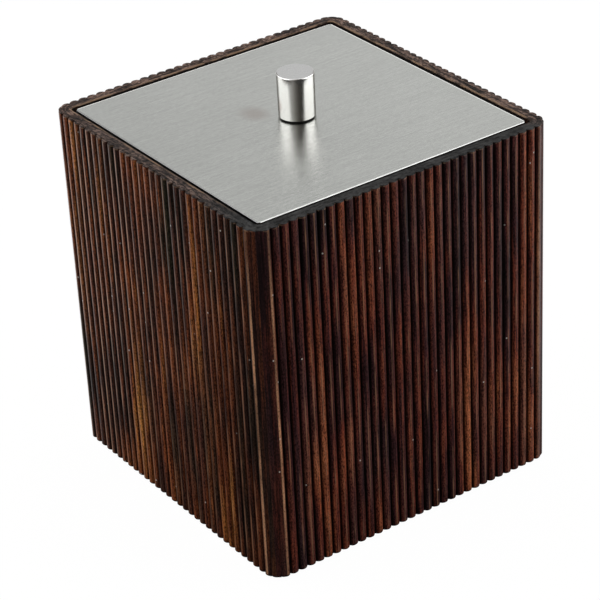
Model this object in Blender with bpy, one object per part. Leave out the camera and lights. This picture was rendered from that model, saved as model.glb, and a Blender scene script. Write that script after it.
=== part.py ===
"""A square cosmetic box: reeded wooden walls, a lift-out liner and a steel lid with a turned knob.

Units are metres and +Z is up. The front wall faces -Y. The origin lies under the middle of the
box, on the plane that its four pads stand on.
"""

import math

import bmesh
import bpy
from mathutils import Vector

# Case: four mitred boards, reeded outside, with the reeds carried round the corners
BOX_SIDE = 0.102
WALL_HEIGHT = 0.111
WALL_THICKNESS = 0.007
CORNER_RADIUS = 0.006
REED_DEPTH = 0.001
GLUE_LINE = 0.0001
REEDS_PER_SIDE = 33
REED_STEPS = 8
REED_HALF_ANGLE = math.radians(68)
# Share of the depth that the groove next to a mitre keeps
CORNER_REED_SHARE = 0.3

# Loose keys glued into slots across the mitres
SPLINE_WIDTH = 0.004
SPLINE_THICKNESS = 0.0012
SPLINE_INSET = 0.0021

# Base board, let into a rebate round the foot of the walls, and the pads under it
BASE_THICKNESS = 0.004
BASE_LIP = 0.0035
PAD_DIAMETER = 0.010
PAD_THICKNESS = 0.001
PAD_INSET = 0.008

# Play between pieces that rest on each other or are let into each other
SEAT_GAP = 0.0003

# Rim: what is left of a wall outside the rebate that takes the liner's flange and the lid
RIM_WIDTH = 0.004
RIM_CORNER_RADIUS = 0.0015
LID_GAP = 0.0012
LID_RECESS = 0.00025

# Liner: a drafted square cup that hangs by its flange
LINER_WALL = 0.0015
LINER_CLEARANCE = 0.001
LINER_DRAFT = 0.0012
LINER_FLOOR_GAP = 0.001
LINER_CORNER_RADIUS = 0.005
LINER_FLOOR_FILLET = 0.004
LINER_LIP = 0.0005
FLANGE_THICKNESS = 0.0012
FLANGE_GAP = 0.0005

# Lid: a thin plate on an insert that drops into the liner's mouth
PLATE_THICKNESS = 0.0008
PLATE_CORNER_RADIUS = 0.001
PLATE_EDGE = 0.0002
INSERT_THICKNESS = 0.003
INSERT_CLEARANCE = 0.0007
INSERT_EDGE = 0.0006

# Knob and the screw that draws it down through the lid
KNOB_DIAMETER = 0.0108
KNOB_HEIGHT = 0.0131
KNOB_EDGE = 0.0003
KNOB_WASHER_DIAMETER = 0.0096
KNOB_WASHER_THICKNESS = 0.0003
SCREW_DIAMETER = 0.004
SCREW_REACH = 0.006
SCREW_POINT = 0.0005
SCREW_PLAY = 0.0003
HEAD_DIAMETER = 0.0078
HEAD_HEIGHT = 0.0024
HEAD_ROUND = 0.0014
HEAD_RECESS_LENGTH = 0.0042
HEAD_RECESS_WIDTH = 0.0009
HEAD_RECESS_DEPTH = 0.0013
WASHER_DIAMETER = 0.009
WASHER_THICKNESS = 0.0008

# How far a cutter runs past the face that it opens
OVERRUN = 0.0005

CIRCLE_STEPS = 48
CORNER_STEPS = 6
FILLET_STEPS = 5

# Places worked out from the sizes above
HALF_SIDE = BOX_SIDE / 2
CAVITY_HALF = HALF_SIDE - WALL_THICKNESS
RIM_HALF = HALF_SIDE - RIM_WIDTH
BASE_REBATE_HALF = HALF_SIDE - BASE_LIP
BASE_REBATE_DEPTH = BASE_THICKNESS + SEAT_GAP
LID_REBATE_DEPTH = SEAT_GAP + FLANGE_THICKNESS + SEAT_GAP + PLATE_THICKNESS + LID_RECESS
WALL_FOOT = PAD_THICKNESS + SEAT_GAP
RIM_TOP = WALL_FOOT + WALL_HEIGHT
REBATE_FLOOR = RIM_TOP - LID_REBATE_DEPTH
FLANGE_BOTTOM = REBATE_FLOOR + SEAT_GAP
FLANGE_TOP = FLANGE_BOTTOM + FLANGE_THICKNESS
PLATE_BOTTOM = FLANGE_TOP + SEAT_GAP
LINER_OUTER_HALF = CAVITY_HALF - LINER_CLEARANCE
LINER_MOUTH_HALF = LINER_OUTER_HALF - LINER_WALL
LINER_BOTTOM = WALL_FOOT + BASE_THICKNESS + LINER_FLOOR_GAP
SCREW_HOLE_RADIUS = SCREW_DIAMETER / 2 + SCREW_PLAY


def clear_scene():
    """Start from an empty scene."""
    for item in list(bpy.data.objects):
        bpy.data.objects.remove(item, do_unlink=True)


def make_material(name, colour, roughness, metallic):
    """One Principled material."""
    material = bpy.data.materials.new(name)
    material.use_nodes = True
    shader = material.node_tree.nodes["Principled BSDF"]
    shader.inputs["Base Color"].default_value = (*colour, 1.0)
    shader.inputs["Roughness"].default_value = roughness
    shader.inputs["Metallic"].default_value = metallic
    return material


def make_axis(name, height, parent=None):
    """An empty on the box's upright axis, which carries the pieces that move together."""
    axis = bpy.data.objects.new(name, None)
    axis.location = (0, 0, height)
    axis.parent = parent
    bpy.context.collection.objects.link(axis)
    return axis


def loft(rings, closed=False):
    """A skin over rings of points, capped at both ends, or closed on itself as a hoop."""
    shape = bmesh.new()
    loops = [[shape.verts.new(point) for point in ring] for ring in rings]
    pairs = list(zip(loops, loops[1:]))
    if closed:
        pairs.append((loops[-1], loops[0]))
    else:
        shape.faces.new(loops[0])
        shape.faces.new(loops[-1])
    for lower, upper in pairs:
        for step in range(len(lower)):
            shape.faces.new((lower[step - 1], lower[step], upper[step], upper[step - 1]))
    bmesh.ops.recalc_face_normals(shape, faces=shape.faces)
    mesh = bpy.data.meshes.new("skin")
    shape.to_mesh(mesh)
    shape.free()
    return mesh


def place(name, mesh, material, parent, location=(0, 0, 0), turn=0.0):
    """A piece at its place under its parent."""
    mesh.name = name
    if not mesh.materials:
        mesh.materials.append(material)
    piece = bpy.data.objects.new(name, mesh)
    piece.parent = parent
    piece.location = location
    piece.rotation_euler = (0, 0, turn)
    bpy.context.collection.objects.link(piece)
    return piece


def round_off(piece):
    """Smooth shading that keeps the crisp edges."""
    piece.data.shade_smooth()
    piece.data.set_sharp_from_angle(angle=math.radians(35))
    return piece


def make_cutter(name, mesh, parent, location=(0, 0, 0), turn=0.0):
    """A shape that is only taken away from others."""
    cutter = place(name, mesh, None, parent, location, turn)
    cutter.hide_render = True
    cutter.display_type = "WIRE"
    return cutter


def cut(piece, cutter):
    """Take a cutter away from a piece."""
    step = piece.modifiers.new(cutter.name, "BOOLEAN")
    step.operation = "DIFFERENCE"
    step.solver = "EXACT"
    step.object = cutter


def circle(radius, height):
    """A ring of points round the upright axis."""
    turns = [2 * math.pi * step / CIRCLE_STEPS for step in range(CIRCLE_STEPS)]
    return [(radius * math.cos(turn), radius * math.sin(turn), height) for turn in turns]


def rounded_square(half, radius, height):
    """A ring of points round a square with round corners."""
    points = []
    for corner in range(4):
        middle = math.pi / 4 + corner * math.pi / 2
        offset = math.sqrt(2) * (half - radius)
        centre = (offset * math.cos(middle), offset * math.sin(middle))
        for step in range(CORNER_STEPS + 1):
            turn = corner * math.pi / 2 + math.pi / 2 * step / CORNER_STEPS
            points.append((centre[0] + radius * math.cos(turn), centre[1] + radius * math.sin(turn), height))
    return points


def square(half, height):
    """The four corners of a square."""
    return [(half, half, height), (-half, half, height), (-half, -half, height), (half, -half, height)]


def oblong(half_x, half_y, height):
    """The four corners of an oblong."""
    return [(half_x, half_y, height), (-half_x, half_y, height), (-half_x, -half_y, height), (half_x, -half_y, height)]


def crest_line(run):
    """The point on the reeds' crest line at a run from the board's middle, and its way out."""
    straight = HALF_SIDE - CORNER_RADIUS
    past = max(0.0, abs(run) - straight)
    turn = math.copysign(past / CORNER_RADIUS, run)
    outward = Vector((math.sin(turn), -math.cos(turn)))
    centre = Vector((math.copysign(min(abs(run), straight), run), -straight))
    return centre + outward * CORNER_RADIUS, outward


def mitre_run():
    """The run along the crest line from a board's middle to its mitre."""
    return HALF_SIDE - CORNER_RADIUS + CORNER_RADIUS * math.pi / 4


def reed_point(middle, pitch, share):
    """A point of the reed whose crest lies at the run middle, from groove -1 to groove 1."""
    bend = share * REED_HALF_ANGLE
    run = middle + pitch / 2 * math.sin(bend) / math.sin(REED_HALF_ANGLE)
    full_depth = REED_DEPTH if mitre_run() - abs(run) > pitch else REED_DEPTH * CORNER_REED_SHARE
    depth = full_depth * (1 - math.cos(bend)) / (1 - math.cos(REED_HALF_ANGLE))
    crest, outward = crest_line(run)
    return crest - outward * depth


def board_outline():
    """A board in plan: reeds from mitre to mitre, with half a reed at each end, and a flat back."""
    pitch = 2 * mitre_run() / REEDS_PER_SIDE
    points = [crest_line(GLUE_LINE / 2 - mitre_run())[0]]
    for reed in range(REEDS_PER_SIDE + 1):
        middle = reed * pitch - mitre_run()
        for step in range(REED_STEPS):
            starts_past_mitre = reed == 0 and step <= REED_STEPS // 2
            ends_past_mitre = reed == REEDS_PER_SIDE and step >= REED_STEPS // 2
            if not starts_past_mitre and not ends_past_mitre:
                points.append(reed_point(middle, pitch, 2 * step / REED_STEPS - 1))
    points.append(crest_line(mitre_run() - GLUE_LINE / 2)[0])
    back = CAVITY_HALF - GLUE_LINE / math.sqrt(2)
    points.append(Vector((back, -CAVITY_HALF)))
    points.append(Vector((-back, -CAVITY_HALF)))
    return points


def board_mesh():
    """The plan of a board drawn up to the height of the walls."""
    outline = board_outline()
    return loft([[(x, y, 0) for x, y in outline], [(x, y, WALL_HEIGHT) for x, y in outline]])


def lid_rebate_cutter(case):
    """The room for the liner's flange and the lid, inside the rim."""
    rings = [rounded_square(RIM_HALF, RIM_CORNER_RADIUS, 0),
             rounded_square(RIM_HALF, RIM_CORNER_RADIUS, LID_REBATE_DEPTH + OVERRUN)]
    return make_cutter("lid_rebate_cutter", loft(rings), case, (0, 0, REBATE_FLOOR))


def base_rebate_cutter(case):
    """The room for the base board."""
    rings = [square(BASE_REBATE_HALF, -OVERRUN), square(BASE_REBATE_HALF, BASE_REBATE_DEPTH)]
    return make_cutter("base_rebate_cutter", loft(rings), case, (0, 0, WALL_FOOT))


def spline_slot_cutter(case, turn):
    """A slot across one mitre, open to both rebates."""
    slot_bottom = WALL_FOOT + BASE_REBATE_DEPTH - OVERRUN
    slot_top = REBATE_FLOOR + OVERRUN
    half_width = SPLINE_WIDTH / 2 + SEAT_GAP
    half_thickness = SPLINE_THICKNESS / 2 + SEAT_GAP
    rings = [oblong(half_thickness, half_width, 0), oblong(half_thickness, half_width, slot_top - slot_bottom)]
    return make_cutter("spline_slot_cutter", loft(rings), case, spline_place(turn, slot_bottom), turn)


def spline_place(turn, height):
    """Where a spline stands on the mitre at a compass turn."""
    reach = math.sqrt(2) * CAVITY_HALF + SPLINE_INSET
    return (reach * math.cos(turn), reach * math.sin(turn), height)


def build_walls(case, wood):
    """Four boards from one mesh, each turned a quarter from the last."""
    mesh = board_mesh()
    lid_rebate = lid_rebate_cutter(case)
    base_rebate = base_rebate_cutter(case)
    slots = [spline_slot_cutter(case, math.pi / 4 + quarter * math.pi / 2) for quarter in range(4)]
    for quarter, side in enumerate(("front", "right", "back", "left")):
        wall = place(side + "_wall", mesh, wood, case, (0, 0, WALL_FOOT), quarter * math.pi / 2)
        round_off(wall)
        cut(wall, lid_rebate)
        cut(wall, base_rebate)
        cut(wall, slots[quarter - 1])
        cut(wall, slots[quarter - 2])


def build_splines(case, wood):
    """The keys in the mitres, from the base rebate up to the lid rebate."""
    bottom = WALL_FOOT + BASE_REBATE_DEPTH + SEAT_GAP
    height = REBATE_FLOOR - SEAT_GAP - bottom
    mesh = loft([oblong(SPLINE_THICKNESS / 2, SPLINE_WIDTH / 2, 0),
                 oblong(SPLINE_THICKNESS / 2, SPLINE_WIDTH / 2, height)])
    for quarter, corner in enumerate(("back_right", "back_left", "front_left", "front_right")):
        turn = math.pi / 4 + quarter * math.pi / 2
        place("spline_" + corner, mesh, wood, case, spline_place(turn, bottom), turn)


def build_base(case, board):
    """The board that closes the case below, flush with the foot of the walls."""
    half = BASE_REBATE_HALF - SEAT_GAP
    place("base_board", loft([square(half, 0), square(half, BASE_THICKNESS)]), board, case, (0, 0, WALL_FOOT))


def build_pads(case, felt):
    """Four round pads stuck under the corners of the base board."""
    mesh = loft([circle(PAD_DIAMETER / 2, 0), circle(PAD_DIAMETER / 2, PAD_THICKNESS)])
    reach = BASE_REBATE_HALF - PAD_INSET
    for corner, side_x, side_y in (("front_left", -1, -1), ("front_right", 1, -1),
                                   ("back_left", -1, 1), ("back_right", 1, 1)):
        round_off(place("foot_pad_" + corner, mesh, felt, case, (side_x * reach, side_y * reach, 0)))


def fillet_rings(half, radius, fillet, floor):
    """Rings down a wall that turns in to a floor through a round fillet."""
    rings = []
    for step in range(FILLET_STEPS + 1):
        bend = math.pi / 2 * step / FILLET_STEPS
        inset = fillet * (1 - math.cos(bend))
        corner = max(radius - inset, LINER_LIP)
        rings.append(rounded_square(half - inset, corner, floor + fillet * (1 - math.sin(bend))))
    return rings


def build_liner(liner, plastic):
    """The cup: its skin runs from the floor up inside, over the flange and down outside."""
    depth = FLANGE_TOP - LINER_BOTTOM
    floor = LINER_WALL - depth
    inner_radius = LINER_CORNER_RADIUS - LINER_WALL
    inner_fillet = LINER_FLOOR_FILLET - LINER_WALL
    inside = fillet_rings(LINER_MOUTH_HALF - LINER_DRAFT, inner_radius, inner_fillet, floor)
    outside = fillet_rings(LINER_OUTER_HALF - LINER_DRAFT, LINER_CORNER_RADIUS, LINER_FLOOR_FILLET, -depth)
    flange_half = RIM_HALF - FLANGE_GAP
    flange_radius = RIM_CORNER_RADIUS - FLANGE_GAP
    rings = inside[::-1]
    rings.append(rounded_square(LINER_MOUTH_HALF, inner_radius, -LINER_LIP))
    rings.append(rounded_square(LINER_MOUTH_HALF + LINER_LIP, inner_radius + LINER_LIP, 0))
    rings.append(rounded_square(flange_half, flange_radius, 0))
    rings.append(rounded_square(flange_half, flange_radius, -FLANGE_THICKNESS))
    rings.append(rounded_square(LINER_OUTER_HALF, LINER_CORNER_RADIUS, -FLANGE_THICKNESS))
    rings.extend(outside)
    round_off(place("liner", loft(rings), plastic, liner))


def screw_hole_cutter(lid):
    """The hole that the knob's screw takes through the plate and the insert."""
    low = -GLUE_LINE - INSERT_THICKNESS - OVERRUN
    rings = [circle(SCREW_HOLE_RADIUS, low), circle(SCREW_HOLE_RADIUS, PLATE_THICKNESS + OVERRUN)]
    return make_cutter("screw_hole_cutter", loft(rings), lid)


def build_plate(lid, steel, hole):
    """The steel plate, with a small chamfer round its top edge."""
    half = RIM_HALF - LID_GAP
    rings = [rounded_square(half, PLATE_CORNER_RADIUS, 0),
             rounded_square(half, PLATE_CORNER_RADIUS, PLATE_THICKNESS - PLATE_EDGE),
             rounded_square(half - PLATE_EDGE, PLATE_CORNER_RADIUS - PLATE_EDGE, PLATE_THICKNESS)]
    cut(round_off(place("lid_plate", loft(rings), steel, lid)), hole)


def build_insert(lid, board, hole):
    """The board under the plate that keeps the lid in the liner's mouth."""
    half = LINER_MOUTH_HALF - INSERT_CLEARANCE
    radius = LINER_CORNER_RADIUS - LINER_WALL
    rings = [rounded_square(half - INSERT_EDGE, radius - INSERT_EDGE, -INSERT_THICKNESS),
             rounded_square(half, radius, INSERT_EDGE - INSERT_THICKNESS),
             rounded_square(half, radius, 0)]
    cut(round_off(place("lid_insert", loft(rings), board, lid, (0, 0, -GLUE_LINE))), hole)


def hoop(radius, hole_radius, thickness):
    """A flat washer standing on its own lower face."""
    return loft([circle(radius, 0), circle(radius, thickness),
                 circle(hole_radius, thickness), circle(hole_radius, 0)], closed=True)


def build_knob(lid, steel, fibre):
    """The turned knob with its blind hole, on the thin washer that shows as a dark line."""
    washer_bottom = PLATE_THICKNESS + GLUE_LINE
    knob_bottom = washer_bottom + KNOB_WASHER_THICKNESS + GLUE_LINE
    washer = hoop(KNOB_WASHER_DIAMETER / 2, SCREW_HOLE_RADIUS, KNOB_WASHER_THICKNESS)
    round_off(place("knob_washer", washer, fibre, lid, (0, 0, washer_bottom)))
    radius = KNOB_DIAMETER / 2
    rings = [circle(SCREW_HOLE_RADIUS, SCREW_REACH + SCREW_PLAY),
             circle(SCREW_HOLE_RADIUS, 0),
             circle(radius - KNOB_EDGE, 0),
             circle(radius, KNOB_EDGE),
             circle(radius, KNOB_HEIGHT - KNOB_EDGE),
             circle(radius - KNOB_EDGE, KNOB_HEIGHT)]
    round_off(place("knob", loft(rings), steel, lid, (0, 0, knob_bottom)))
    return knob_bottom


def recess_cutter(lid, height):
    """The cross recess in the screw's head."""
    half_length = HEAD_RECESS_LENGTH / 2
    half_width = HEAD_RECESS_WIDTH / 2
    outline = []
    for quarter in range(4):
        turn = quarter * math.pi / 2
        along = Vector((math.cos(turn), math.sin(turn)))
        across = Vector((-along.y, along.x))
        outline.append(along * half_length - across * half_width)
        outline.append(along * half_length + across * half_width)
        outline.append(along * half_width + across * half_width)
    rings = [[(x, y, z) for x, y in outline] for z in (-OVERRUN, HEAD_RECESS_DEPTH)]
    return make_cutter("recess_cutter", loft(rings), lid, (0, 0, height))


def build_screw(lid, metal, knob_bottom):
    """The screw from below, its head on a washer under the insert."""
    washer_top = -GLUE_LINE - INSERT_THICKNESS - GLUE_LINE
    washer = hoop(WASHER_DIAMETER / 2, SCREW_HOLE_RADIUS, WASHER_THICKNESS)
    round_off(place("screw_washer", washer, metal, lid, (0, 0, washer_top - WASHER_THICKNESS)))
    head_top = washer_top - WASHER_THICKNESS - GLUE_LINE
    head_bottom = head_top - HEAD_HEIGHT
    tip = knob_bottom + SCREW_REACH - head_bottom
    rings = []
    for step in range(FILLET_STEPS + 1):
        bend = math.pi / 2 * step / FILLET_STEPS
        rings.append(circle(HEAD_DIAMETER / 2 - HEAD_ROUND * (1 - math.sin(bend)), HEAD_ROUND * (1 - math.cos(bend))))
    rings.append(circle(HEAD_DIAMETER / 2, HEAD_HEIGHT))
    rings.append(circle(SCREW_DIAMETER / 2, HEAD_HEIGHT))
    rings.append(circle(SCREW_DIAMETER / 2, tip - SCREW_POINT))
    rings.append(circle(SCREW_DIAMETER / 2 - SCREW_POINT, tip))
    screw = round_off(place("knob_screw", loft(rings), metal, lid, (0, 0, head_bottom)))
    cut(screw, recess_cutter(lid, head_bottom))


def main():
    """Build the box on its pads, then the liner in it, then the lid on the liner."""
    clear_scene()
    case = make_axis("case_axis", 0)
    build_walls(case, make_material("reeded_wood", (0.060, 0.024, 0.016), 0.45, 0.0))
    build_splines(case, make_material("spline_wood", (0.420, 0.260, 0.130), 0.60, 0.0))
    build_base(case, make_material("base_fibreboard", (0.022, 0.016, 0.013), 0.80, 0.0))
    build_pads(case, make_material("pad_felt", (0.030, 0.028, 0.027), 0.95, 0.0))

    liner = make_axis("liner_lift_axis", FLANGE_TOP, case)
    build_liner(liner, make_material("liner_plastic", (0.012, 0.012, 0.013), 0.40, 0.0))

    lid = make_axis("lid_lift_axis", PLATE_BOTTOM - FLANGE_TOP, liner)
    hole = screw_hole_cutter(lid)
    build_plate(lid, make_material("brushed_steel", (0.560, 0.570, 0.560), 0.34, 1.0), hole)
    build_insert(lid, make_material("insert_board", (0.015, 0.014, 0.014), 0.60, 0.0), hole)
    polished = make_material("turned_steel", (0.620, 0.610, 0.590), 0.16, 1.0)
    knob_bottom = build_knob(lid, polished, make_material("washer_fibre", (0.010, 0.010, 0.010), 0.70, 0.0))
    build_screw(lid, make_material("zinc_plate", (0.500, 0.510, 0.520), 0.30, 1.0), knob_bottom)


if __name__ == "__main__":
    main()
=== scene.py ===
"""The looks of a square reeded cosmetic box with a lift-out liner and a brushed steel lid.

Units are metres and +Z is up. The front wall faces -Y. Every finished piece has its object at
the origin and its place in its mesh.
"""

import math

import bmesh
import bpy
from bpy.props import FloatProperty, FloatVectorProperty, IntProperty, PointerProperty
from mathutils import Matrix, Vector


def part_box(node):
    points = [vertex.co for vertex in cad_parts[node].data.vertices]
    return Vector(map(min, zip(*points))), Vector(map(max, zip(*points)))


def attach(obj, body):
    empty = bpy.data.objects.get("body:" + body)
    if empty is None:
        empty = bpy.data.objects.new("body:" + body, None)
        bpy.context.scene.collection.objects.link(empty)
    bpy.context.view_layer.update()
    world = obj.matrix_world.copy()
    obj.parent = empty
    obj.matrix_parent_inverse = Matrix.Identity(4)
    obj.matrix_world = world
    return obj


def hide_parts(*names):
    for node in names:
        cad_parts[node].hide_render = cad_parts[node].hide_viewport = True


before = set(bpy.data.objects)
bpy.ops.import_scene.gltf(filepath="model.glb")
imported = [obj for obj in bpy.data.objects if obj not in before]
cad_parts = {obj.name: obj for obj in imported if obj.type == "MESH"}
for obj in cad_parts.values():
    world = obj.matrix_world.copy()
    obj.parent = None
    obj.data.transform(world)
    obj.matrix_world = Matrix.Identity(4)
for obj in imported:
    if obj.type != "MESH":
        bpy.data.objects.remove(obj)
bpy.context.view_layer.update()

bl_info = {
    "name": "Reeded Cosmetic Box",
    "version": (1, 0, 0),
    "blender": (4, 5, 0),
    "location": "View3D > Sidebar > Reeded Box",
    "description": "Builds a reeded wooden cosmetic box with a liner, a steel lid and a turned knob",
    "category": "Object",
}

# Places read from the frame
WALL_LOW, WALL_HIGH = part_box("front_wall")
HALF_SIDE = -WALL_LOW.y
WALL_FOOT = WALL_LOW.z
RIM_TOP = WALL_HIGH.z
CAVITY_HALF = -WALL_HIGH.y
BASE_LOW, BASE_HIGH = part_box("base_board")
LINER_LOW, LINER_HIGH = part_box("liner")
PLATE_LOW, PLATE_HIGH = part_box("lid_plate")
INSERT_LOW, INSERT_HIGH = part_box("lid_insert")
KNOB_LOW, KNOB_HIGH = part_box("knob")
KNOB_WASHER_LOW, KNOB_WASHER_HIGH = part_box("knob_washer")
SCREW_LOW, SCREW_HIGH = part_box("knob_screw")
SCREW_WASHER_LOW, SCREW_WASHER_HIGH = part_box("screw_washer")
PAD_LOW, PAD_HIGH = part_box("foot_pad_front_left")
KEY_LOW, KEY_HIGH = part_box("spline_front_left")

# Sizes of the walls and of the keys in their mitres that a box doesn't show
CORNER_RADIUS = 0.006
REED_HALF_ANGLE = math.radians(68)
SEAT_GAP = 0.0003
RIM_WIDTH = 0.004
RIM_CORNER_RADIUS = 0.0015
JOINT_GAP = 0.00001
KEY_WIDTH = 0.004
KEY_THICKNESS = 0.0012
KEY_INSET = 0.0021

# Sizes of the base, the liner and the lid
BASE_EDGE = 0.0004
PAD_SOFTNESS = 0.3
PAD_EDGE_SHARE = 0.6
LINER_PLAY = 0.001
LINER_WALL = 0.0015
LINER_DRAFT = 0.0012
LINER_CORNER_RADIUS = 0.005
LINER_FLOOR_FILLET = 0.004
LINER_LIP = 0.0005
FLANGE_THICKNESS = 0.0012
FLANGE_GAP = 0.0005
PLATE_CORNER_RADIUS = 0.001
PLATE_CHAMFER = 0.00015
PLATE_BEVEL = 0.00017
BEVEL_SOFTNESS = 0.00002
PLATE_MARGIN_BELOW = 0.00055
PLATE_MARGIN_ABOVE = 0.00050
INSERT_EDGE = 0.0006

# Sizes of the knob and its screw
KNOB_EDGE = 0.0003
KNOB_FOOT_EDGE = 0.0001
SCREW_DIAMETER = 0.004
SCREW_PLAY = 0.0003
SCREW_REACH = 0.006
THREAD_PITCH = 0.0007
THREAD_DEPTH = 0.0004
THREAD_ROWS = 6
SCREW_POINT = 0.0005
POINT_TAPER = 0.6
HEAD_HEIGHT = 0.0024
HEAD_ROUND = 0.0014
HEAD_RECESS_LENGTH = 0.0042
HEAD_RECESS_WIDTH = 0.0009
HEAD_RECESS_DEPTH = 0.0013
HEAD_RECESS_TAPER = 0.55

RIM_HALF = HALF_SIDE - RIM_WIDTH
REBATE_FLOOR = LINER_HIGH.z - FLANGE_THICKNESS - SEAT_GAP
BASE_REBATE_HALF = BASE_HIGH.x + SEAT_GAP
BASE_REBATE_TOP = BASE_HIGH.z + SEAT_GAP
MITRE_RUN = HALF_SIDE - CORNER_RADIUS + CORNER_RADIUS * math.pi / 4
SCREW_HOLE_RADIUS = SCREW_DIAMETER / 2 + SCREW_PLAY

WALLS = ("front", "right", "back", "left")
CORNERS = ("back_right", "back_left", "front_left", "front_right")
QUARTER_TURN = math.pi / 2
WANDER_SEED = 7
CORNER_STEPS = 12
CIRCLE_STEPS = 96
EDGE_STEPS = 4
SHARP_ANGLE = math.radians(35)
WHITE = (1.0, 1.0, 1.0)


def length(name, description, default, highest, lowest=0.0):
    return FloatProperty(name=name, description=description, default=default, min=lowest, max=highest,
                         precision=5, unit="LENGTH")


def count(name, description, default, lowest, highest):
    return IntProperty(name=name, description=description, default=default, min=lowest, max=highest)


def colour(name, description, default):
    return FloatVectorProperty(name=name, description=description, default=default, subtype="COLOR",
                               min=0.0, max=1.0)


def power(name, description, default):
    return FloatProperty(name=name, description=description, default=default, min=0, unit="POWER")


class BoardSettings(bpy.types.PropertyGroup):
    """Sizes of the reeded boards. The boards' tree has an input for each."""

    reed_depth: length("Reed Depth", "How deep the grooves between the reeds are cut",
                       0.001, 0.002, 0.0002)
    reeds: count("Reeds per Board", "Reeds from one mitre to the next", 33, 5, 60)
    reed_steps: count("Steps per Reed", "Faces across one reed", 12, 4, 24)
    height_steps: count("Steps up the Board", "Faces from the foot of a reed to its top", 40, 4, 80)
    corner_depth: FloatProperty(
        name="Corner Reed Depth", description="Share of the depth that the grooves at a mitre keep",
        default=0.3, min=0.0, max=1.0, subtype="FACTOR")
    ease: length("Eased Ends", "How far the ends of the reeds are rounded over", 0.00028, 0.001)
    rim_ease: length("Eased Rim", "How far the inner edge of the rim is rounded over", 0.00025, 0.001)
    sway: length("Tool Wander", "How far a reed strays from its straight line", 0.00005, 0.0003)


class FinishSettings(bpy.types.PropertyGroup):
    """Colours of the finishes, as scene-linear values."""

    stain_black: colour("Black Stain", "The darkest stain, in the hard bands of the wood",
                        (0.013, 0.006, 0.006))
    stain_purple: colour("Purple Stain", "The common dark tone of the reeds", (0.060, 0.018, 0.020))
    stain_red: colour("Red Stain", "Where the stain has taken less", (0.215, 0.044, 0.022))
    stain_orange: colour("Orange Stain", "The warmest streaks", (0.500, 0.155, 0.060))
    stain_ash: colour("Ashen Stain", "The grey reeds between the red ones", (0.060, 0.036, 0.040))
    stain_smoke: colour("Smoky Stain", "The grey reeds of the left board", (0.044, 0.036, 0.029))
    # Painted shade: the dark tone over the corners
    corner_shade_tone: colour("Painted Corner Shade", "The even dark tone over the corners", (0.024, 0.013, 0.014))
    # Worn crests with painted highlights on them
    crest_wear_and_highlight: colour("Worn and Highlit Crests", "The thin lines along the reeds' crests", (0.600, 0.300, 0.165))
    # Painted highlights beside the corners
    corner_crest_highlight: colour("Painted Corner Highlights", "The pale lines along the crests beside a corner",
                          (1.000, 0.500, 0.270))
    worn_wood: colour("Worn Wood", "Rubbed edges and pale flecks", (0.420, 0.270, 0.170))
    bare_wood: colour("Bare Wood", "The keys in the mitres", (0.420, 0.260, 0.130))
    steel: colour("Brushed Steel", "The lid plate", (0.367, 0.375, 0.357))
    turned_steel: colour("Turned Steel", "The knob", (0.980, 0.950, 0.922))
    black: colour("Black", "The liner", (0.014, 0.014, 0.015))


class StudioSettings(bpy.types.PropertyGroup):
    """The camera, the lamps and the floor."""

    lens: FloatProperty(name="Lens", description="Focal length on a 36 mm sensor", default=144.08,
                        min=20, max=300, unit="CAMERA")
    left_lamp: power("Left Softbox", "Power of the softbox on the left", 3.5)
    right_lamp: power("Right Softbox", "Power of the softbox on the right", 4.2)
    top_lamp: power("Top Softbox", "Power of the softbox overhead", 1.5)
    floor: colour("Floor", "The pale floor under the box", (0.45, 0.45, 0.44))


class BoxSettings(bpy.types.PropertyGroup):
    """All settings of the box and its studio."""

    board: PointerProperty(type=BoardSettings)
    finish: PointerProperty(type=FinishSettings)
    studio: PointerProperty(type=StudioSettings)


def settings():
    """The box's settings in the open scene."""
    return bpy.context.scene.reeded_box


def setting_names(group):
    """The names of a group's own settings."""
    return [name for name in group.bl_rna.properties.keys() if name not in ("rna_type", "name")]


def sum_with(operation, swapped=False):
    """A method of Wire that adds the Math node for one sign of a sum."""
    def method(self, other):
        return self.nodes.math(operation, *((other, self) if swapped else (self, other)))
    return method


class Wire:
    """A node's output that works in sums. Each sum adds the Math node that it needs."""

    def __init__(self, nodes, socket):
        self.nodes = nodes
        self.socket = socket

    __add__, __radd__ = sum_with("ADD"), sum_with("ADD", swapped=True)
    __sub__, __rsub__ = sum_with("SUBTRACT"), sum_with("SUBTRACT", swapped=True)
    __mul__, __rmul__ = sum_with("MULTIPLY"), sum_with("MULTIPLY", swapped=True)
    __truediv__, __rtruediv__ = sum_with("DIVIDE"), sum_with("DIVIDE", swapped=True)
    __gt__, __lt__ = sum_with("GREATER_THAN"), sum_with("LESS_THAN")


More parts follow.
